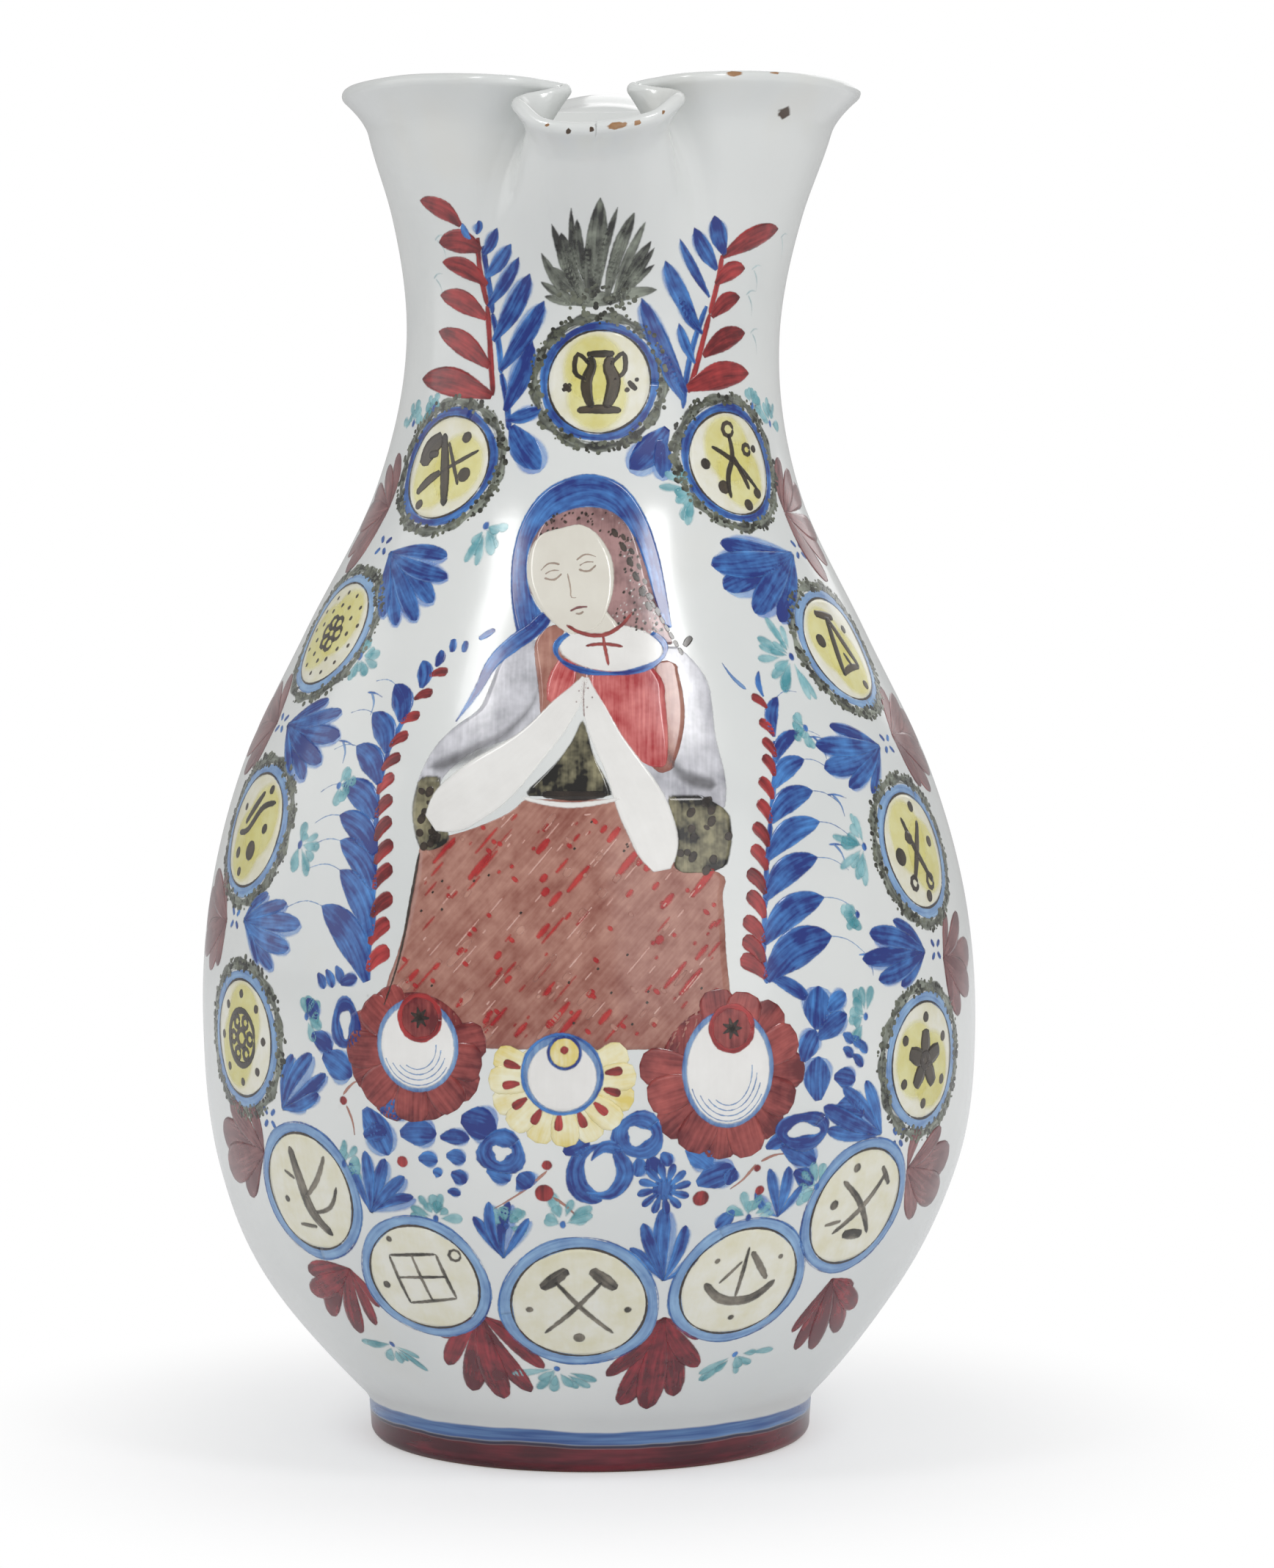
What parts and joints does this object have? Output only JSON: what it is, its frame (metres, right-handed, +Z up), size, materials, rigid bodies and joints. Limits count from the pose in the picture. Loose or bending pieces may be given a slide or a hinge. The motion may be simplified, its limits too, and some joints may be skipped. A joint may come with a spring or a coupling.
{
  "type": "spouted jug",
  "caption": "Pear-shaped glazed pottery jug on a turned foot, with a flared neck, a pinched pouring lip and a pulled strap handle, painted with a wreath of round panels, sprays and a praying woman",
  "frame": {"origin": "middle of the flat base that the jug stands on", "axes": "+Z up along the turning axis, -Y towards the pouring lip, +Y towards the handle, +X to the right as seen from the lip's side"},
  "size_m": [0.1859, 0.2139, 0.329],
  "materials": {
    "foot_glaze": "gloss",
    "body_glaze": "gloss",
    "handle_glaze": "gloss"
  },
  "bodies": {
    "root": {"foot": "foot_glaze", "belly": "body_glaze", "neck": "body_glaze", "spout": "body_glaze", "handle": "handle_glaze"}
  },
  "joints": []
}
